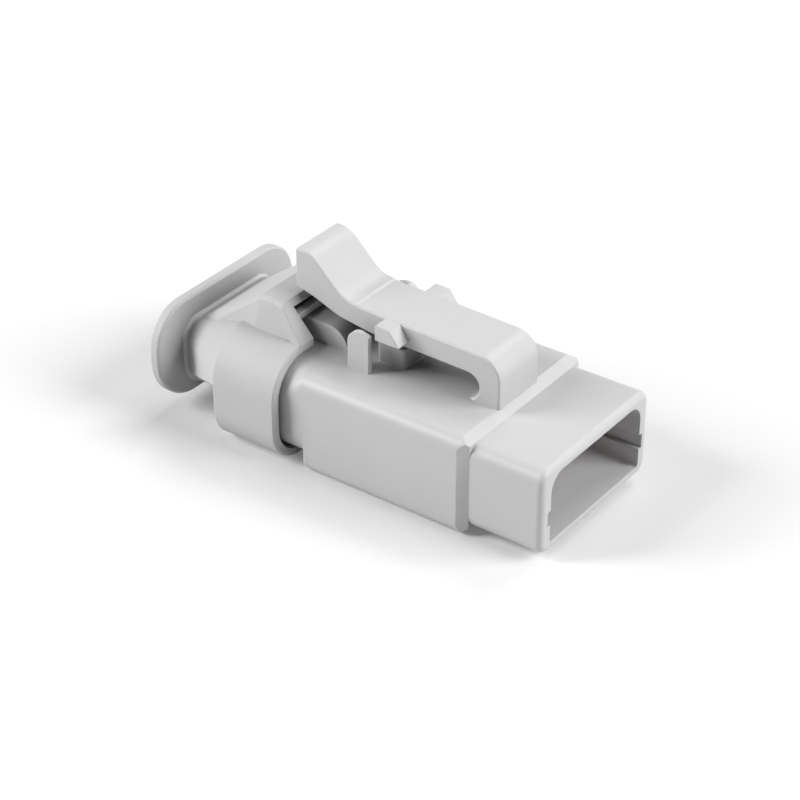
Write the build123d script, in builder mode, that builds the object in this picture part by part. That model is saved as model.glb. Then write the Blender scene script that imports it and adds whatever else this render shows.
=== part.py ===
"""Sealed in-line connector: receptacle housing with a latch arm, rear boot cap, seal, wedge and pin contacts.

Millimetres. +X points out of the mating mouth, +Z up. The origin lies on the resting plane, on the centre
line, below the shoulder where the wide body steps down to the shroud.
"""

import os
from math import radians, tan

from build123d import *

# Housing, outside
body_half_width = 8.85
body_height = 9.7
body_length = 16.45
body_low_radius = 1.2
body_high_radius = 1.2
body_rear_round = 0.35
shoulder_length = 1.0
shoulder_side_drop = 0.51
shoulder_top_drop = 0.57
shoulder_low_rise = 0.8
shroud_length = 7.25
shroud_low_radius = 1.3
shroud_high_radius = 1.2
shroud_lip_round = 0.6

# Housing, rear chamber that the cap slides over
chamber_length = 7.75
chamber_low_radius = 2.7
chamber_high_radius = 2.6
chamber_wall = 0.95
seal_pocket_depth = 7.2
chamber_blend = 1.5
chamber_overlap = 0.6

# Housing, mating cavity and its side keyways
mouth_side_wall = 1.34
mouth_roof_wall = 0.85
mouth_floor_wall = 0.92
mouth_high_radius = 1.7
mouth_low_radius = 0.3
mouth_depth = 13.75
key_depth = 0.42
key_height = 1.45
key_low = 3.5

# Contacts, three in line
contact_count = 3
contact_pitch = 4.19
pin_radius = 0.5
shank_radius = 0.8
shank_stand_out = 0.1
pin_tip_length = 0.4
pin_tip_radius = 0.3
pin_projection = 4.8
contact_collar_radius = 1.3
contact_collar_length = 1.0
barrel_radius = 1.0
crimp_bore_radius = 0.62
barrel_length = 8.6
crimp_bore_depth = 3.6
contact_clearance = 0.12
shank_clearance = 0.13

# Nose on the cavity floor, and the wedge lock around it
nose_length = 2.5
nose_half_width = 6.1
nose_half_height = 1.5
nose_corner_radius = 0.75
nose_sink = 0.2
wedge_clearance = 0.15
wedge_front_wall = 1.2
wedge_corner_radius = 1.5
wedge_window_width = 1.5
wedge_window_height = 0.9
wedge_window_rise = 0.3

# Latch arm in side view: places along X from the shoulder, heights above the body's top
arm_half_width = 2.95
arm_front_x = 0.24
arm_height = 4.55
arm_rise = 0.03
arm_gap = 2.5
arm_root_thickness = 2.1
arm_root_radius = 2.1
arm_edge_break = 0.12
arm_ledge_x = -14.87
arm_ledge_height = 0.1
arm_ledge_run = 0.2
thumb_foot_x = -16.2
thumb_slope = 44.0
thumb_height = 8.55
thumb_rear_x = -21.35
thumb_under_height = 4.75
thumb_foot_radius = 3.0
thumb_brow_radius = 2.6
thumb_rear_radius = 0.25
thumb_belly = [(-19.4, 4.25), (-16.8, 3.25), (-13.2, 2.72)]
thumb_belly_radius = 4.0
root_sink = 1.0
round_margin = 0.02

# Side hooks on the arm, the stop block below it and the guard posts behind the hooks
hook_rear_x = -11.6
hook_top_length = 1.5
hook_length = 2.5
hook_height = 1.45
hook_reach = 1.55
stop_front_x = -9.9
stop_length = 2.9
stop_half_width = 2.6
stop_clearance = 0.5
stop_round = 0.35
post_front_x = -12.0
post_length = 2.25
post_height = 3.85
post_fall = 0.22
post_fall_length = 0.9
post_thickness = 0.5
post_edge_round = 0.12
post_outer_y = 4.9
post_crown_radius = 1.2
post_turn_x = -13.9

# Spine under the thumb tab, with its rounded nose and the catch for the cap
spine_half_width = 3.1
spine_height = 2.1
spine_front_x = -15.6
spine_nose_radius = 2.0
catch_half_width = 2.6
catch_height = 0.7
catch_length = 2.4
catch_sink = 0.3
catch_clearance = 0.2

# Rear cap: sleeve and end wall
cap_wall = 0.75
sleeve_length = 6.8
sleeve_side_gap = 0.5
sleeve_top_gap = 0.35
sleeve_low_gap = 0.25
cap_low_radius = 3.7
cap_high_radius = 4.3
cap_front_break = 0.15
cap_end_thickness = 1.0
cap_seat_gap = 0.1

# Rear cap: neck that flares out to the sleeve, and the boot flange
neck_length = 6.6
neck_collar = 0.4
neck_half_width = 6.2
neck_low = 1.35
neck_top_drop = 2.35
neck_low_radius = 3.3
neck_high_radius = 1.85
neck_wall = 0.8
neck_chamfer = 0.22
neck_flare_depth = 5.15
cap_flare_depth = 4.6
flare_low_radius = 0.25
flange_thickness = 1.1
flange_half_width = 9.75
flange_low = 0.9
flange_top_drop = 0.05
flange_side_straight = 0.95
flange_high_radius = 4.0
flange_break = 0.2

# Hood on the cap, over the spine, with a ramp down to the neck
hood_height = 2.95
hood_depth = 2.8
hood_foot_half_width = 5.9
hood_roof_half_width = 5.1
hood_front_setback = 2.6
hood_roof_length = 2.5
hood_band_length = 1.1
hood_band_swell = 0.2
hood_roof_thickness = 0.55
hood_bore_half_width = 4.25
hood_bore_slope_rise = 0.6
hood_bore_overrun = 1.0
hood_edge_radius = 0.5
ramp_half_width = 5.4
ramp_top_drop = 0.05
ramp_depth = 2.4
ramp_edge_radius = 1.5
bar_clearance = 0.2
bar_height = 0.6
bar_thickness = 0.8
bar_anchor = 0.2

# Wire seal
seal_clearance = 0.08
seal_end_gap = 0.2
seal_length = 6.6
seal_rib_count = 3
seal_rib_thickness = 1.0
seal_groove_depth = 0.5
seal_hole_radius = 1.0

shroud_front_x = shoulder_length + shroud_length
shroud_half_width = body_half_width - shoulder_side_drop
shroud_low = shoulder_low_rise
shroud_high = body_height - shoulder_top_drop
mouth_floor_x = shroud_front_x - mouth_depth
mouth_half_width = shroud_half_width - mouth_side_wall
mouth_high = shroud_high - mouth_roof_wall
mouth_low = shroud_low + mouth_floor_wall
nose_front_x = mouth_floor_x + nose_length
contact_axis_z = body_height / 2
contact_ys = [(i - (contact_count - 1) / 2) * contact_pitch for i in range(contact_count)]
pin_hole_radius = shank_radius + shank_clearance
arm_top = body_height + arm_height
spine_top = body_height + spine_height
chamber_rear_x = -body_length - chamber_length
chamber_floor_x = chamber_rear_x + seal_pocket_depth
chamber_low = cap_wall + sleeve_low_gap
cap_half_width = body_half_width + sleeve_side_gap + cap_wall
cap_height = body_height + sleeve_top_gap + cap_wall
cap_seat_x = chamber_rear_x - cap_seat_gap
cap_rear_x = cap_seat_x - cap_end_thickness
cap_front_x = cap_rear_x + sleeve_length
flange_front_x = cap_rear_x - neck_length
flange_rear_x = flange_front_x - flange_thickness
flange_high = cap_height - flange_top_drop
flange_low_radius = flange_high - flange_low - flange_side_straight - flange_high_radius
neck_high = cap_height - neck_top_drop
hood_top = cap_height + hood_height
hood_low = cap_height - hood_depth
hood_roof_front_x = cap_front_x - hood_front_setback
hood_roof_rear_x = hood_roof_front_x - hood_roof_length
bar_low = spine_top + bar_clearance
bar_high = bar_low + bar_height
hood_front_run = hood_front_setback / hood_height
hood_side_run = (hood_foot_half_width - hood_roof_half_width) / hood_height
bar_front_x = cap_front_x - hood_front_run * (bar_high - cap_height)


def arm_top_at(x):
    """Height of the latch arm's top face at x, which rises slightly towards the thumb tab."""
    return arm_top + arm_rise * (arm_front_x - arm_root_radius - x)


def outline(x, section):
    """Rounded outline at x, seen along X."""
    half_width, low, high, low_radius, high_radius = section
    with BuildSketch(Plane.YZ.offset(x)) as drawn:
        with Locations((0, (low + high) / 2)):
            Rectangle(2 * half_width, high - low)
        if high_radius > 0:
            fillet(drawn.vertices().group_by(Axis.Y)[-1], high_radius)
        if low_radius > 0:
            fillet(drawn.vertices().group_by(Axis.Y)[0], low_radius)
    return drawn.sketch


def bar(rear_x, front_x, section, mode=Mode.ADD):
    """Length of one outline along X, in the part that is being built."""
    extrude(outline(rear_x, section), amount=front_x - rear_x, mode=mode)


def transition(rear_x, rear_section, front_x, front_section, mode=Mode.ADD):
    """Blend from one outline to another along X."""
    loft([outline(rear_x, rear_section), outline(front_x, front_section)], ruled=True, mode=mode)


def bore_row(rear_x, front_x, radius, mode=Mode.SUBTRACT):
    """One round bore or rod along X at each contact's place."""
    with BuildSketch(Plane.YZ.offset(rear_x)) as drawn:
        with Locations(*[(y, contact_axis_z) for y in contact_ys]):
            Circle(radius)
    extrude(drawn.sketch, amount=front_x - rear_x, mode=mode)


def inset(section, amount):
    """The same outline, moved inwards by amount all round."""
    half_width, low, high, low_radius, high_radius = section
    return (half_width - amount, low + amount, high - amount, low_radius - amount, high_radius - amount)


body_section = (body_half_width, 0, body_height, body_low_radius, body_high_radius)
body_square = (body_half_width, 0, body_height, 0, 0)
shroud_section = (shroud_half_width, shroud_low, shroud_high, shroud_low_radius, shroud_high_radius)
shroud_square = (shroud_half_width, shroud_low, shroud_high, 0, 0)
mouth_section = (mouth_half_width, mouth_low, mouth_high, mouth_low_radius, mouth_high_radius)
chamber_section = (body_half_width, chamber_low, body_height, chamber_low_radius, chamber_high_radius)
chamber_neck_section = (body_half_width, chamber_low, body_height, chamber_low_radius, body_high_radius)
chamber_bore = inset(chamber_section, chamber_wall)
cap_section = (cap_half_width, 0, cap_height, cap_low_radius, cap_high_radius)
neck_section = (neck_half_width, neck_low, neck_high, neck_low_radius, neck_high_radius)
neck_flare_section = (
    neck_half_width,
    neck_high - neck_flare_depth,
    neck_high,
    flare_low_radius,
    neck_high_radius,
)
cap_flare_section = (
    cap_half_width,
    cap_height - cap_flare_depth,
    cap_height,
    flare_low_radius,
    cap_high_radius,
)
flange_section = (
    flange_half_width,
    flange_low,
    flange_high,
    flange_low_radius,
    flange_high_radius,
)
ramp_section = (
    ramp_half_width,
    neck_high - ramp_top_drop - ramp_depth,
    neck_high - ramp_top_drop,
    0,
    ramp_edge_radius,
)


# Shoulder between body and shroud: four flat bevels across the rounded body
with BuildPart() as shoulder:
    bar(0, shoulder_length, body_section)
    transition(0, body_square, shoulder_length, shroud_square, mode=Mode.INTERSECT)


# Latch arm with its root, in side view
thumb_top = body_height + thumb_height
thumb_foot = (thumb_foot_x, arm_top_at(thumb_foot_x) + arm_ledge_height)
thumb_brow = (thumb_foot_x - (thumb_top - thumb_foot[1]) / tan(radians(thumb_slope)), thumb_top)
ledge_front_x = arm_ledge_x + arm_ledge_run / 2
ledge_rear_x = arm_ledge_x - arm_ledge_run / 2
gap_radius = arm_gap / 2 - round_margin
gap_front_x = arm_front_x - arm_root_thickness
gap_roof = body_height + arm_gap
arm_corners = [
    ((arm_front_x, body_height - root_sink), 0),
    ((arm_front_x, arm_top), arm_root_radius),
    ((ledge_front_x, arm_top_at(ledge_front_x)), 0),
    ((ledge_rear_x, arm_top_at(ledge_rear_x) + arm_ledge_height), 0),
    (thumb_foot, thumb_foot_radius),
    (thumb_brow, thumb_brow_radius),
    ((thumb_rear_x, thumb_top), thumb_rear_radius),
    ((thumb_rear_x, body_height + thumb_under_height), thumb_rear_radius),
    *[((x, body_height + height), thumb_belly_radius) for x, height in thumb_belly],
    ((gap_front_x, gap_roof), gap_radius),
    ((gap_front_x, body_height), gap_radius),
    ((gap_front_x - 2 * gap_radius, body_height), 0),
    ((gap_front_x - 2 * gap_radius, body_height - root_sink), 0),
]


def side_view(corners):
    """Outline with rounded corners, seen from the side."""
    with BuildSketch(Plane.XZ) as drawn:
        with BuildLine():
            FilletPolyline(
                *[point for point, radius in corners],
                radius=[radius for point, radius in corners],
                close=True,
            )
        make_face()
    return drawn.sketch


with BuildPart() as arm:
    extrude(side_view(arm_corners), amount=arm_half_width, both=True)
    chamfer(arm.faces().filter_by(Axis.Y).edges(), arm_edge_break)


# Guard post with a rounded crown, beside the arm at y = 0
post_top = body_height + post_height
post_corners = [
    ((post_front_x, body_height - root_sink), 0),
    ((post_front_x, post_top - post_fall), post_edge_round),
    ((post_front_x - post_fall_length, post_top), post_edge_round),
    ((post_front_x - post_length, post_top), post_crown_radius),
    ((post_front_x - post_length, body_height - root_sink), 0),
]
with BuildPart() as post:
    extrude(side_view(post_corners), amount=-post_thickness)
near_post = post.part.moved(Location((0, -post_outer_y, 0)))
far_post = near_post.rotate(Axis((post_turn_x, 0, 0), (0, 0, 1)), 180)


# Housing: one moulding with its latch arm
with BuildPart() as housing:
    bar(-body_length, 0, body_section)
    fillet(housing.faces().sort_by(Axis.X)[0].edges(), body_rear_round)
    add(shoulder.part)
    bar(shoulder_length, shroud_front_x, shroud_section)
    fillet(housing.faces().sort_by(Axis.X)[-1].edges(), shroud_lip_round)
    chamber_neck_x = -body_length - chamber_blend
    transition(chamber_neck_x, chamber_section, -body_length, chamber_neck_section)
    bar(-body_length, -body_length + chamber_overlap, chamber_neck_section)
    bar(chamber_rear_x, chamber_neck_x, chamber_section)
    add(arm.part)

    # Spine with its rounded nose, and the catch behind the cap's snap bar
    with BuildSketch(Plane.XZ) as spine_side:
        with Locations(((chamber_rear_x + spine_front_x) / 2, (body_height - root_sink + spine_top) / 2)):
            Rectangle(spine_front_x - chamber_rear_x, spine_top - body_height + root_sink)
        fillet(spine_side.vertices().sort_by(Axis.X)[-2:].sort_by(Axis.Y)[-1], spine_nose_radius)
    extrude(amount=spine_half_width, both=True)
    catch_front_x = bar_front_x - bar_thickness - catch_clearance
    with BuildSketch(Plane.XZ):
        with BuildLine():
            Polyline(
                (catch_front_x, spine_top - catch_sink),
                (catch_front_x, spine_top + catch_height),
                (catch_front_x - catch_length, spine_top - catch_sink),
                close=True,
            )
        make_face()
    extrude(amount=catch_half_width, both=True)

    # Side hooks with a sloped front
    hook_front_x = hook_rear_x + hook_length
    hook_low = arm_top_at(hook_rear_x) - hook_height
    with BuildSketch(Plane.XZ):
        with BuildLine():
            Polyline(
                (hook_rear_x, hook_low),
                (hook_rear_x, arm_top_at(hook_rear_x)),
                (hook_rear_x + hook_top_length, arm_top_at(hook_rear_x + hook_top_length)),
                (hook_front_x, hook_low),
                close=True,
            )
        make_face()
    extrude(amount=arm_half_width + hook_reach, both=True)

    # Stop block below the arm
    with BuildSketch(Plane.XY.offset(body_height - root_sink)) as stop_plan:
        with Locations((stop_front_x - stop_length / 2, 0)):
            Rectangle(stop_length, 2 * stop_half_width)
        fillet(stop_plan.vertices(), stop_round)
    extrude(amount=root_sink + arm_gap - stop_clearance)

    # Guard posts: the far one is the near one turned half a turn
    add(near_post)
    add(far_post)

    # Mating cavity with a keyway in each side
    bar(mouth_floor_x, shroud_front_x, mouth_section, mode=Mode.SUBTRACT)
    with BuildSketch(Plane.YZ.offset(mouth_floor_x)):
        with Locations((0, key_low + key_height / 2)):
            Rectangle(2 * (mouth_half_width + key_depth), key_height)
    extrude(amount=mouth_depth, mode=Mode.SUBTRACT)

    # Nose that carries the pins, and the contact bores behind it
    nose_section = (
        nose_half_width,
        contact_axis_z - nose_half_height,
        contact_axis_z + nose_half_height,
        nose_corner_radius,
        nose_corner_radius,
    )
    bar(mouth_floor_x - nose_sink, nose_front_x, nose_section)
    bar(chamber_rear_x, chamber_floor_x, chamber_bore, mode=Mode.SUBTRACT)
    bore_row(chamber_floor_x, mouth_floor_x, contact_collar_radius + contact_clearance)
    bore_row(mouth_floor_x, nose_front_x, pin_hole_radius)
housing.part.label = "housing"


# Hood over the spine, seen along X, in slices behind its sloped front
def hood_outline(x, swell):
    """Hood at x, from inside the sleeve up to its roof, swelled sideways by the given amount."""
    roof_half_width = hood_roof_half_width + swell
    low_half_width = roof_half_width + hood_side_run * (hood_top - hood_low)
    with BuildSketch(Plane.YZ.offset(x)) as drawn:
        with BuildLine():
            Polyline(
                (-low_half_width, hood_low),
                (-roof_half_width, hood_top),
                (roof_half_width, hood_top),
                (low_half_width, hood_low),
                close=True,
            )
        make_face()
        fillet(drawn.vertices().group_by(Axis.Y)[-1], hood_edge_radius)
    return drawn.sketch


def hood_slice(rear_corners, swell):
    """Hood from its sloped front back to the given corners, which run from the roof down."""
    with BuildPart() as sliced:
        extrude(hood_outline(hood_roof_rear_x, swell), amount=cap_front_x - hood_roof_rear_x)
        with BuildSketch(Plane.XZ):
            with BuildLine():
                Polyline(
                    (cap_front_x, hood_low),
                    (cap_front_x, cap_height),
                    (hood_roof_front_x, hood_top),
                    *rear_corners,
                    close=True,
                )
            make_face()
        extrude(amount=cap_half_width, both=True, mode=Mode.INTERSECT)
    return sliced.part


hood_core = hood_slice([(hood_roof_rear_x, hood_top), (hood_roof_rear_x, hood_low)], 0)
hood_band = hood_slice(
    [
        (hood_roof_front_x - hood_band_length, hood_top),
        (cap_front_x - hood_band_length, cap_height),
        (cap_front_x - hood_band_length, hood_low),
    ],
    hood_band_swell,
)


with BuildPart() as boot_flange:
    bar(flange_rear_x, flange_front_x, flange_section)
    chamfer(boot_flange.faces().filter_by(Axis.X).edges(), flange_break)


# Rear cap: sleeve, end wall, flared neck, boot flange and hood
with BuildPart() as rear_cap:
    bar(cap_rear_x, cap_front_x, cap_section)
    chamfer(rear_cap.faces().sort_by(Axis.X)[-1].edges(), cap_front_break)
    collar_front_x = flange_front_x + neck_collar
    transition(collar_front_x, neck_flare_section, cap_rear_x, cap_flare_section)
    loft([outline(collar_front_x, ramp_section), hood_outline(hood_roof_rear_x, 0)], ruled=True)
    add(hood_core)
    add(hood_band)
    bar(flange_front_x, cap_rear_x, neck_section)
    add(boot_flange.part)
    upright_faces = rear_cap.faces().filter_by(Axis.X)
    flange_face = upright_faces.sort_by(lambda face: abs(face.center().X - flange_front_x))[0]
    chamfer(flange_face.inner_wires().edges(), neck_chamfer)

    # Inside of the sleeve and the hood
    bar(cap_seat_x, cap_front_x, inset(cap_section, cap_wall), mode=Mode.SUBTRACT)
    bore_roof = hood_top - hood_roof_thickness
    bore_low = cap_height - cap_wall - hood_bore_overrun
    with BuildSketch(Plane.XZ):
        with BuildLine():
            Polyline(
                (cap_seat_x, bore_low),
                (cap_seat_x, bore_roof - hood_bore_slope_rise),
                (cap_seat_x + hood_bore_slope_rise, bore_roof),
                (cap_front_x + hood_bore_overrun, bore_roof),
                (cap_front_x + hood_bore_overrun, bore_low),
                close=True,
            )
        make_face()
    extrude(amount=hood_bore_half_width, both=True, mode=Mode.SUBTRACT)

    # Snap bar across the hood's mouth
    with BuildSketch(Plane.XY.offset(bar_low)):
        with Locations((bar_front_x - bar_thickness / 2, 0)):
            Rectangle(bar_thickness, 2 * (hood_bore_half_width + bar_anchor))
    extrude(amount=bar_height)

    # Wire passage through the neck and the end wall, which keeps a rim behind the seal
    bar(flange_rear_x, cap_seat_x, inset(neck_section, neck_wall), mode=Mode.SUBTRACT)
rear_cap.part.label = "rear_cap"


# Wire seal: ribbed grommet with one hole for each wire
seal_front_x = chamber_floor_x - seal_end_gap
seal_rear_x = seal_front_x - seal_length
rib_section = inset(chamber_bore, seal_clearance)
rib_step = (seal_length - seal_rib_thickness) / (seal_rib_count - 1)
with BuildPart() as wire_seal:
    bar(seal_rear_x, seal_front_x, inset(rib_section, seal_groove_depth))
    for i in range(seal_rib_count):
        rib_rear_x = seal_rear_x + i * rib_step
        bar(rib_rear_x, rib_rear_x + seal_rib_thickness, rib_section)
    bore_row(seal_rear_x, seal_front_x, seal_hole_radius)
wire_seal.part.label = "wire_seal"


# Wedge lock: a cap over the nose, with a hole for each pin and two pull windows
wedge_rear_x = mouth_floor_x + wedge_clearance
wedge_front_x = nose_front_x + wedge_clearance + wedge_front_wall
wedge_section = (
    mouth_half_width - wedge_clearance,
    mouth_low + wedge_clearance,
    mouth_high - wedge_clearance,
    mouth_low_radius,
    wedge_corner_radius,
)
nose_pocket = (
    nose_half_width + wedge_clearance,
    contact_axis_z - nose_half_height - wedge_clearance,
    contact_axis_z + nose_half_height + wedge_clearance,
    0,
    0,
)
with BuildPart() as wedge_lock:
    bar(wedge_rear_x, wedge_front_x, wedge_section)
    bar(wedge_rear_x, nose_front_x + wedge_clearance, nose_pocket, mode=Mode.SUBTRACT)
    bore_row(nose_front_x + wedge_clearance, wedge_front_x, pin_hole_radius)
    window_z = contact_axis_z + nose_half_height + wedge_window_rise
    with BuildSketch(Plane.YZ.offset(nose_front_x)):
        with Locations((-contact_pitch / 2, window_z), (contact_pitch / 2, window_z)):
            Rectangle(wedge_window_width, wedge_window_height)
    extrude(amount=wedge_front_x - nose_front_x, mode=Mode.SUBTRACT)
wedge_lock.part.label = "wedge_lock"


# Pin contacts: tip, pin, collar, body and crimp barrel, turned round the X axis
pin_tip_x = wedge_front_x + pin_projection
collar_front_x = mouth_floor_x - contact_clearance
barrel_front_x = collar_front_x - contact_collar_length
barrel_rear_x = barrel_front_x - barrel_length
shank_front_x = wedge_front_x + shank_stand_out


def pin_contact(y):
    """One turned contact at its place across the row."""
    half_profile = [
        (pin_tip_x, 0),
        (pin_tip_x, pin_tip_radius),
        (pin_tip_x - pin_tip_length, pin_radius),
        (shank_front_x, pin_radius),
        (shank_front_x, shank_radius),
        (collar_front_x, shank_radius),
        (collar_front_x, contact_collar_radius),
        (barrel_front_x, contact_collar_radius),
        (barrel_front_x, barrel_radius),
        (barrel_rear_x, barrel_radius),
        (barrel_rear_x, crimp_bore_radius),
        (barrel_rear_x + crimp_bore_depth, crimp_bore_radius),
        (barrel_rear_x + crimp_bore_depth, 0),
    ]
    plane = Plane(origin=(0, y, contact_axis_z), x_dir=(1, 0, 0), z_dir=(0, -1, 0))
    with BuildPart() as contact:
        with BuildSketch(plane):
            with BuildLine():
                Polyline(*half_profile, close=True)
            make_face()
        revolve(axis=Axis((0, y, contact_axis_z), (1, 0, 0)))
    return contact.part


os.makedirs("parts", exist_ok=True)
for moulding in (housing, rear_cap, wire_seal, wedge_lock):
    export_step(moulding.part, f"parts/{moulding.part.label}.step")
for number, y in enumerate(contact_ys, start=1):
    contact = pin_contact(y)
    contact.label = f"pin_contact_{number}"
    export_step(contact, f"parts/{contact.label}.step")
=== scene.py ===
"""Sealed in-line connector: its grey mouldings, wire seal, wedge lock and contacts, on a pale floor."""

import math

import bmesh
import bpy
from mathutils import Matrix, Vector


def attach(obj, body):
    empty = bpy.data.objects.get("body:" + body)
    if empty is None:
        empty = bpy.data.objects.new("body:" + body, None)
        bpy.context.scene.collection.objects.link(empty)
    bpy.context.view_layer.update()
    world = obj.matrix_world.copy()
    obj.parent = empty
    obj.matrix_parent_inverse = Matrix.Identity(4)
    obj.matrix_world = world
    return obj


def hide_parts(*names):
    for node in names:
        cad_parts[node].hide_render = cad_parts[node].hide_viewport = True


bl_info = {
    "name": "Sealed In-line Connector",
    "version": (1, 0, 0),
    "blender": (4, 5, 0),
    "location": "View3D > Sidebar > Connector",
    "description": "Finishes the connector's mouldings, seal and contacts and sets them on a pale floor",
    "category": "Object",
}

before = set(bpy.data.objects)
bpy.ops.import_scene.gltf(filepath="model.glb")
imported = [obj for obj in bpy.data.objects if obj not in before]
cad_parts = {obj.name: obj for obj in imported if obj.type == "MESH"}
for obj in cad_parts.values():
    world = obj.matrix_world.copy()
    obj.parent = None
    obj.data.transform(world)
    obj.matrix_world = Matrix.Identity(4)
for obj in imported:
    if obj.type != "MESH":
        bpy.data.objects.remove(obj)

MM = 0.001

# The camera's place and aim in millimetres, and its lens on a 36 mm sensor
CAMERA_PLACE = (91.575, -142.150, 116.596)
CAMERA_AIM = (-12.230, 0.0, 4.509)
CAMERA_LENS = 105.76
CAMERA_SENSOR = 36.0

# Each softbox's direction from the camera's aim, its distance and its width in millimetres
CORNER_SOFTBOX = (-0.74, -0.55, 0.39), 600, 300
EDGE_SOFTBOX = (-0.50, -0.54, 0.68), 600, 130
OVERHEAD_SOFTBOX = (0.06, 0.66, 0.75), 700, 340
FRONT_SOFTBOX = (0.78, 0.26, 0.57), 600, 360

# Half the floor's width
FLOOR_REACH = 3000

# Edges that turn more than this are corners of the moulding. Less is a facet of a curve.
CORNER_ANGLE = math.radians(19)

# A colour Mix node's sockets, which share their names with its other types' sockets
MIX_A, MIX_B, MIX_RESULT = 6, 7, 2


def linear(hex_colour):
    """A linear RGBA colour from an sRGB hex value such as "#C8C8C8"."""
    channels = [int(hex_colour[i : i + 2], 16) / 255 for i in (1, 3, 5)]
    return [c / 12.92 if c <= 0.04045 else ((c + 0.055) / 1.055) ** 2.4 for c in channels] + [1.0]


def add_node(tree, kind, links=(), settings=(), **values):
    """Adds a node. links is (input, output) pairs, settings its properties, and values its inputs by name."""
    added = tree.nodes.new(kind)
    for name, value in dict(settings).items():
        setattr(added, name, value)
    for name, value in values.items():
        added.inputs[name.replace("_", " ")].default_value = value
    for name, output in links:
        tree.links.new(output, added.inputs[name])
    return added


class ConnectorFinish(bpy.types.PropertyGroup):
    """Colours, gloss and edge rounding of the connector's pieces."""

    housing_colour: bpy.props.FloatVectorProperty(
        name="Housing",
        description="Light grey of the housing",
        subtype="COLOR",
        size=4,
        min=0,
        max=1,
        default=linear("#B8B8B9"),
    )
    housing_roughness: bpy.props.FloatProperty(
        name="Housing Roughness",
        description="Roughness of the housing's satin skin",
        subtype="FACTOR",
        default=0.44,
        min=0,
        max=1,
    )
    cap_colour: bpy.props.FloatVectorProperty(
        name="Rear Cap",
        description="Slightly darker grey of the rear cap",
        subtype="COLOR",
        size=4,
        min=0,
        max=1,
        default=linear("#B3B3B4"),
    )
    cap_roughness: bpy.props.FloatProperty(
        name="Rear Cap Roughness",
        description="Roughness of the rear cap's matt skin",
        subtype="FACTOR",
        default=0.6,
        min=0,
        max=1,
    )
    edge_radius: bpy.props.FloatProperty(
        name="Edge Radius",
        description="Small rounding that the mould leaves on sharp edges",
        subtype="DISTANCE",
        unit="LENGTH",
        default=0.16 * MM,
        min=0,
        precision=5,
    )
    wedge_colour: bpy.props.FloatVectorProperty(
        name="Wedge Lock",
        description="Orange of the wedge lock",
        subtype="COLOR",
        size=4,
        min=0,
        max=1,
        default=linear("#C9692A"),
    )
    seal_colour: bpy.props.FloatVectorProperty(
        name="Seal",
        description="Orange of the silicone wire seal",
        subtype="COLOR",
        size=4,
        min=0,
        max=1,
        default=linear("#C9652B"),
    )
    contact_colour: bpy.props.FloatVectorProperty(
        name="Contacts",
        description="Warm grey of the nickel plating",
        subtype="COLOR",
        size=4,
        min=0,
        max=1,
        default=linear("#C6C0B4"),
    )


class ConnectorStage(bpy.types.PropertyGroup):
    """The floor and the lamps."""

    floor_colour: bpy.props.FloatVectorProperty(
        name="Floor",
        description="Colour of the pale floor",
        subtype="COLOR",
        size=4,
        min=0,
        max=1,
        default=linear("#D4D4D4"),
    )
    floor_lift: bpy.props.FloatProperty(
        name="Floor Lift",
        description="Light that the floor gives off only where it is looked at, which keeps it white",
        default=0.12,
        min=0,
    )
    room_light: bpy.props.FloatProperty(
        name="Room Light",
        description="Strength of the even light from all round",
        default=0.03,
        min=0,
    )
    corner_power: bpy.props.FloatProperty(
        name="Corner Softbox",
        description="Power of the softbox above the near rear corner, in watts",
        default=3.45,
        min=0,
    )
    edge_power: bpy.props.FloatProperty(
        name="Edge Softbox",
        description="Power of the small softbox that lines the long edges, in watts",
        default=0.9,
        min=0,
    )
    overhead_power: bpy.props.FloatProperty(
        name="Overhead Softbox",
        description="Power of the wide softbox above and behind, in watts",
        default=2.0,
        min=0,
    )
    front_power: bpy.props.FloatProperty(
        name="Front Softbox",
        description="Power of the softbox beyond the mouth's far corner, in watts",
        default=4.1,
        min=0,
    )


def finished_piece(piece_name, cad_name, material):
    """A copy of a CAD node with its points merged, its curves shaded smooth and its flats kept flat, shown in
    the node's place."""
    shape = bmesh.new()
    shape.from_mesh(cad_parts[cad_name].data)
    bmesh.ops.remove_doubles(shape, verts=shape.verts, dist=0.001 * MM)
    mesh = bpy.data.meshes.new(piece_name)
    shape.to_mesh(mesh)
    shape.free()
    # The copy carries normals of the loose triangles, which no longer fit the merged points
    if "custom_normal" in mesh.attributes:
        mesh.attributes.remove(mesh.attributes["custom_normal"])
    mesh.shade_smooth()
    mesh.set_sharp_from_angle(angle=CORNER_ANGLE)
    mesh.materials.append(material)
    piece = bpy.data.objects.new(piece_name, mesh)
    bpy.context.scene.collection.objects.link(piece)
    shading = piece.modifiers.new("flat faces beside curves", "WEIGHTED_NORMAL")
    shading.mode = "FACE_AREA"
    shading.keep_sharp = True
    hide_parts(cad_name)
    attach(piece, "root")
    return piece


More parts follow.
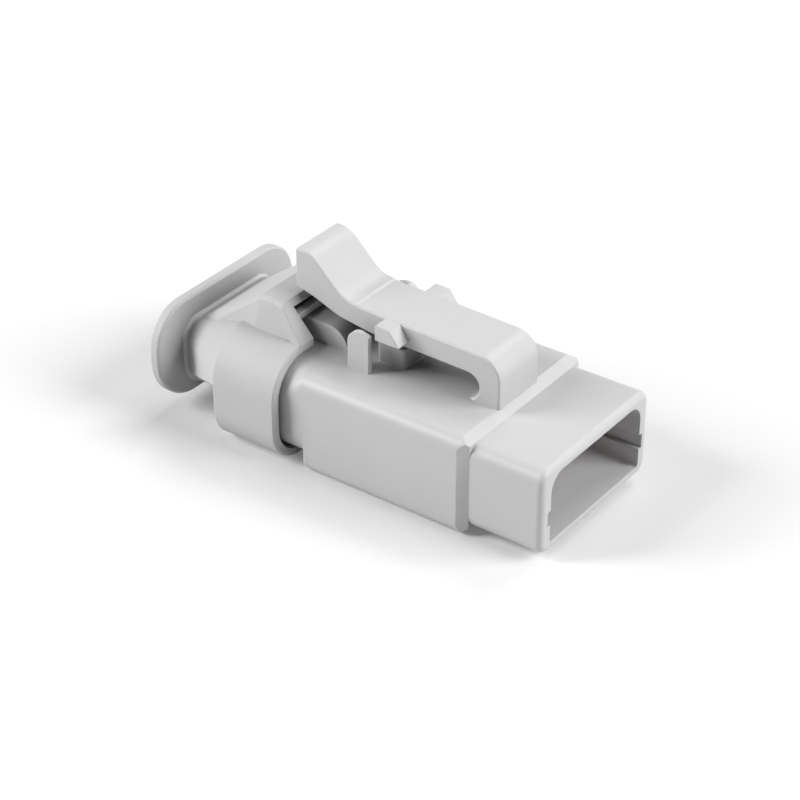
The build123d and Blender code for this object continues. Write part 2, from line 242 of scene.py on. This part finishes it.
def moulded_plastic(name, colour, roughness, edge_radius):
    """Glass-filled polyester from a smooth mould: one even colour with faint flow clouds, darkened by painted
    shade in its hollows, a satin skin whose gloss varies a little, and a grain too fine to see that softens
    its highlights."""
    material = bpy.data.materials.new(name)
    material.use_nodes = True
    tree = material.node_tree
    tree.nodes.clear()
    place = add_node(tree, "ShaderNodeTexCoord").outputs["Object"]
    # Flow clouds a few millimetres across
    clouds = add_node(
        tree, "ShaderNodeTexNoise", [("Vector", place)], Scale=1 / (5 * MM), Detail=2, Roughness=0.5
    )
    pale = [min(1.0, c * 1.02) for c in colour[:3]] + [1.0]
    dull = [c * 0.98 for c in colour[:3]] + [1.0]
    tint = add_node(tree, "ShaderNodeMix", settings={"data_type": "RGBA"})
    tree.links.new(clouds.outputs["Fac"], tint.inputs["Factor"])
    tint.inputs[MIX_A].default_value = dull
    tint.inputs[MIX_B].default_value = pale
    # Painted shade: hollows a little deeper in tone than the open faces, from an ambient-occlusion mask that
    # darkens the colour where shade falls
    hollow_occlusion = add_node(
        tree, "ShaderNodeAmbientOcclusion", settings={"samples": 8, "only_local": True}, Distance=6 * MM
    )
    painted_hollow_shade = add_node(tree, "ShaderNodeMapRange", [("Value", hollow_occlusion.outputs["AO"])])
    painted_hollow_shade.inputs["From Min"].default_value = 0.05
    painted_hollow_shade.inputs["From Max"].default_value = 0.55
    painted_hollow_shade.inputs["To Min"].default_value = 0.4
    # The colour multiplied by the painted shade in the hollows
    shade = add_node(
        tree, "ShaderNodeMix", settings={"data_type": "RGBA", "blend_type": "MULTIPLY"}, Factor=1.0
    )
    tree.links.new(tint.outputs[MIX_RESULT], shade.inputs[MIX_A])
    tree.links.new(painted_hollow_shade.outputs["Result"], shade.inputs[MIX_B])
    # Gloss that varies over about a millimetre
    sheen = add_node(
        tree, "ShaderNodeTexNoise", [("Vector", place)], Scale=1 / (1.1 * MM), Detail=3, Roughness=0.6
    )
    gloss = add_node(tree, "ShaderNodeMapRange", [("Value", sheen.outputs["Fac"])])
    gloss.inputs["To Min"].default_value = roughness - 0.05
    gloss.inputs["To Max"].default_value = roughness + 0.05
    # Skin grain of about 0.12 mm, the finest that shows at this size
    grain = add_node(
        tree, "ShaderNodeTexNoise", [("Vector", place)], Scale=1 / (0.12 * MM), Detail=2, Roughness=0.5
    )
    # Edges as the mould leaves them, a little rounded, so that they catch the light
    edges = add_node(tree, "ShaderNodeBevel", settings={"samples": 8}, Radius=edge_radius)
    skin = add_node(
        tree,
        "ShaderNodeBump",
        [("Height", grain.outputs["Fac"]), ("Normal", edges.outputs["Normal"])],
        Strength=0.25,
        Distance=0.004 * MM,
    )
    shader = add_node(
        tree,
        "ShaderNodeBsdfPrincipled",
        [
            ("Base Color", shade.outputs[MIX_RESULT]),
            ("Roughness", gloss.outputs["Result"]),
            ("Normal", skin.outputs["Normal"]),
        ],
        IOR=1.5,
    )
    add_node(tree, "ShaderNodeOutputMaterial", [("Surface", shader.outputs["BSDF"])])
    return material


def silicone_rubber(name, colour):
    """Self-oiling silicone rubber: light gets a little way in, so its ribs glow at their edges under a soft,
    greasy sheen with a fine matt bloom."""
    material = bpy.data.materials.new(name)
    material.use_nodes = True
    tree = material.node_tree
    tree.nodes.clear()
    place = add_node(tree, "ShaderNodeTexCoord").outputs["Object"]
    # Oil bloom in patches of about 0.8 mm
    bloom = add_node(
        tree, "ShaderNodeTexNoise", [("Vector", place)], Scale=1 / (0.8 * MM), Detail=3, Roughness=0.6
    )
    gloss = add_node(tree, "ShaderNodeMapRange", [("Value", bloom.outputs["Fac"])])
    gloss.inputs["To Min"].default_value = 0.38
    gloss.inputs["To Max"].default_value = 0.62
    skin = add_node(
        tree, "ShaderNodeBump", [("Height", bloom.outputs["Fac"])], Strength=0.3, Distance=0.01 * MM
    )
    shader = add_node(
        tree,
        "ShaderNodeBsdfPrincipled",
        [("Roughness", gloss.outputs["Result"]), ("Normal", skin.outputs["Normal"])],
        Base_Color=colour,
        IOR=1.41,
        Subsurface_Weight=0.25,
        Subsurface_Scale=0.4 * MM,
    )
    add_node(tree, "ShaderNodeOutputMaterial", [("Surface", shader.outputs["BSDF"])])
    return material


def nickel_plating(name, colour):
    """Nickel-plated turned copper alloy: bright warm metal with the fine rings that the lathe leaves."""
    material = bpy.data.materials.new(name)
    material.use_nodes = True
    tree = material.node_tree
    tree.nodes.clear()
    place = add_node(tree, "ShaderNodeTexCoord").outputs["Object"]
    # Turning rings 0.08 mm apart along the contact
    rings = add_node(
        tree,
        "ShaderNodeTexWave",
        [("Vector", place)],
        {"wave_type": "BANDS", "bands_direction": "X"},
        Scale=math.pi / (10 * 0.08 * MM),
        Distortion=0.4,
        Detail=1.0,
    )
    skin = add_node(
        tree, "ShaderNodeBump", [("Height", rings.outputs["Fac"])], Strength=0.3, Distance=0.003 * MM
    )
    shader = add_node(
        tree,
        "ShaderNodeBsdfPrincipled",
        [("Normal", skin.outputs["Normal"])],
        Base_Color=colour,
        Metallic=1.0,
        Roughness=0.24,
    )
    add_node(tree, "ShaderNodeOutputMaterial", [("Surface", shader.outputs["BSDF"])])
    return material


class CONNECTOR_OT_mouldings(bpy.types.Operator):
    """Finish the grey mouldings: the housing with its latch arm, and the rear cap"""

    bl_idname = "connector.mouldings"
    bl_label = "Grey Mouldings"

    def execute(self, context):
        finish = context.scene.connector_finish
        satin = moulded_plastic(
            "moulded PBT, light grey, satin",
            finish.housing_colour,
            finish.housing_roughness,
            finish.edge_radius,
        )
        matt = moulded_plastic(
            "moulded PBT, light grey, matt", finish.cap_colour, finish.cap_roughness, finish.edge_radius
        )
        finished_piece("housing_moulding", "housing", satin)
        finished_piece("rear_cap_moulding", "rear_cap", matt)
        return {"FINISHED"}


class CONNECTOR_OT_wedge(bpy.types.Operator):
    """Finish the orange wedge lock around the nose"""

    bl_idname = "connector.wedge"
    bl_label = "Wedge Lock"

    def execute(self, context):
        finish = context.scene.connector_finish
        orange = moulded_plastic("moulded PBT, orange", finish.wedge_colour, 0.42, finish.edge_radius)
        finished_piece("wedge_moulding", "wedge_lock", orange)
        return {"FINISHED"}


class CONNECTOR_OT_seal(bpy.types.Operator):
    """Finish the ribbed wire seal behind the contacts"""

    bl_idname = "connector.seal"
    bl_label = "Wire Seal"

    def execute(self, context):
        finish = context.scene.connector_finish
        rubber = silicone_rubber("silicone rubber, orange", finish.seal_colour)
        finished_piece("seal_rubber", "wire_seal", rubber)
        return {"FINISHED"}


class CONNECTOR_OT_contacts(bpy.types.Operator):
    """Finish the three pin contacts"""

    bl_idname = "connector.contacts"
    bl_label = "Pin Contacts"

    def execute(self, context):
        finish = context.scene.connector_finish
        nickel = nickel_plating("nickel plating on turned copper alloy", finish.contact_colour)
        for name in sorted(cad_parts):
            if name.startswith("pin_contact"):
                finished_piece(name.replace("pin", "turned"), name, nickel)
        return {"FINISHED"}


def seen_directly(tree):
    """1 where the camera, a reflection or glass sees a surface, and 0 where it only lights something."""
    path = add_node(tree, "ShaderNodeLightPath")
    seen = path.outputs["Is Camera Ray"]
    for ray in ("Is Glossy Ray", "Is Transmission Ray"):
        either = add_node(tree, "ShaderNodeMath", settings={"operation": "MAXIMUM"})
        tree.links.new(seen, either.inputs[0])
        tree.links.new(path.outputs[ray], either.inputs[1])
        seen = either.outputs[0]
    return seen


def white_card(colour, lift):
    """Matt white card, lifted to white where it is looked at, with the object's shadow kept."""
    material = bpy.data.materials.new("matt white card")
    material.use_nodes = True
    tree = material.node_tree
    tree.nodes.clear()
    card = add_node(tree, "ShaderNodeBsdfDiffuse", Color=colour)
    strength = add_node(tree, "ShaderNodeMath", settings={"operation": "MULTIPLY"})
    tree.links.new(seen_directly(tree), strength.inputs[0])
    strength.inputs[1].default_value = lift
    glow = add_node(tree, "ShaderNodeEmission", [("Strength", strength.outputs[0])])
    both = add_node(tree, "ShaderNodeAddShader")
    tree.links.new(card.outputs[0], both.inputs[0])
    tree.links.new(glow.outputs[0], both.inputs[1])
    add_node(tree, "ShaderNodeOutputMaterial", [("Surface", both.outputs[0])])
    return material


def softbox(name, direction, distance, size, watts):
    """A square softbox in a direction from the camera's aim, turned to it. Lengths in millimetres."""
    lamp = bpy.data.lights.new(name, "AREA")
    lamp.size = size * MM
    lamp.energy = watts
    holder = bpy.data.objects.new(name, lamp)
    away = Vector(direction).normalized()
    holder.location = (Vector(CAMERA_AIM) + away * distance) * MM
    holder.rotation_euler = (-away).to_track_quat("-Z", "Y").to_euler()
    bpy.context.scene.collection.objects.link(holder)


class CONNECTOR_OT_stage(bpy.types.Operator):
    """Set the floor, the lamps, the room light and the camera"""

    bl_idname = "connector.stage"
    bl_label = "Floor, Lamps and Camera"

    def execute(self, context):
        scene = context.scene
        stage = scene.connector_stage
        sheet = bmesh.new()
        bmesh.ops.create_grid(sheet, x_segments=1, y_segments=1, size=FLOOR_REACH * MM)
        mesh = bpy.data.meshes.new("floor")
        sheet.to_mesh(mesh)
        sheet.free()
        mesh.materials.append(white_card(stage.floor_colour, stage.floor_lift))
        floor = bpy.data.objects.new("floor", mesh)
        scene.collection.objects.link(floor)

        world = bpy.data.worlds.new("pale room")
        scene.world = world
        world.use_nodes = True
        tree = world.node_tree
        tree.nodes.clear()
        strength = add_node(tree, "ShaderNodeMix", [("Factor", seen_directly(tree))], {"data_type": "FLOAT"})
        strength.inputs["A"].default_value = stage.room_light
        strength.inputs["B"].default_value = 1.0
        sky = add_node(tree, "ShaderNodeBackground", [("Strength", strength.outputs["Result"])])
        sky.inputs["Color"].default_value = (1, 1, 1, 1)
        add_node(tree, "ShaderNodeOutputWorld", [("Surface", sky.outputs["Background"])])

        softbox("corner softbox", *CORNER_SOFTBOX, stage.corner_power)
        softbox("edge softbox", *EDGE_SOFTBOX, stage.edge_power)
        softbox("overhead softbox", *OVERHEAD_SOFTBOX, stage.overhead_power)
        softbox("front softbox", *FRONT_SOFTBOX, stage.front_power)

        camera = bpy.data.cameras.new("camera")
        camera.lens = CAMERA_LENS
        camera.sensor_width = CAMERA_SENSOR
        camera.clip_start = 0.01
        camera.clip_end = 20
        holder = bpy.data.objects.new("camera", camera)
        place = Vector(CAMERA_PLACE) * MM
        holder.location = place
        holder.rotation_euler = (Vector(CAMERA_AIM) * MM - place).to_track_quat("-Z", "Y").to_euler()
        scene.collection.objects.link(holder)
        scene.camera = holder
        scene.view_settings.view_transform = "Standard"
        return {"FINISHED"}


class CONNECTOR_PT_panel(bpy.types.Panel):
    """Lists the connector's steps and settings in the 3D view's sidebar"""

    bl_idname = "CONNECTOR_PT_panel"
    bl_label = "Connector"
    bl_space_type = "VIEW_3D"
    bl_region_type = "UI"
    bl_category = "Connector"

    def draw(self, context):
        for step in STEPS:
            self.layout.operator(step.bl_idname)
        for group in (context.scene.connector_finish, context.scene.connector_stage):
            for name in group.bl_rna.properties.keys():
                if name not in {"rna_type", "name"}:
                    self.layout.prop(group, name)


STEPS = [
    CONNECTOR_OT_mouldings,
    CONNECTOR_OT_wedge,
    CONNECTOR_OT_seal,
    CONNECTOR_OT_contacts,
    CONNECTOR_OT_stage,
]
CLASSES = [ConnectorFinish, ConnectorStage, *STEPS, CONNECTOR_PT_panel]


def register():
    for cls in CLASSES:
        bpy.utils.register_class(cls)
    bpy.types.Scene.connector_finish = bpy.props.PointerProperty(type=ConnectorFinish)
    bpy.types.Scene.connector_stage = bpy.props.PointerProperty(type=ConnectorStage)


def unregister():
    del bpy.types.Scene.connector_stage
    del bpy.types.Scene.connector_finish
    for cls in reversed(CLASSES):
        bpy.utils.unregister_class(cls)


def main():
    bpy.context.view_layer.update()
    register()
    bpy.ops.connector.mouldings()
    bpy.ops.connector.wedge()
    bpy.ops.connector.seal()
    bpy.ops.connector.contacts()
    bpy.ops.connector.stage()


if __name__ == "__main__":
    main()
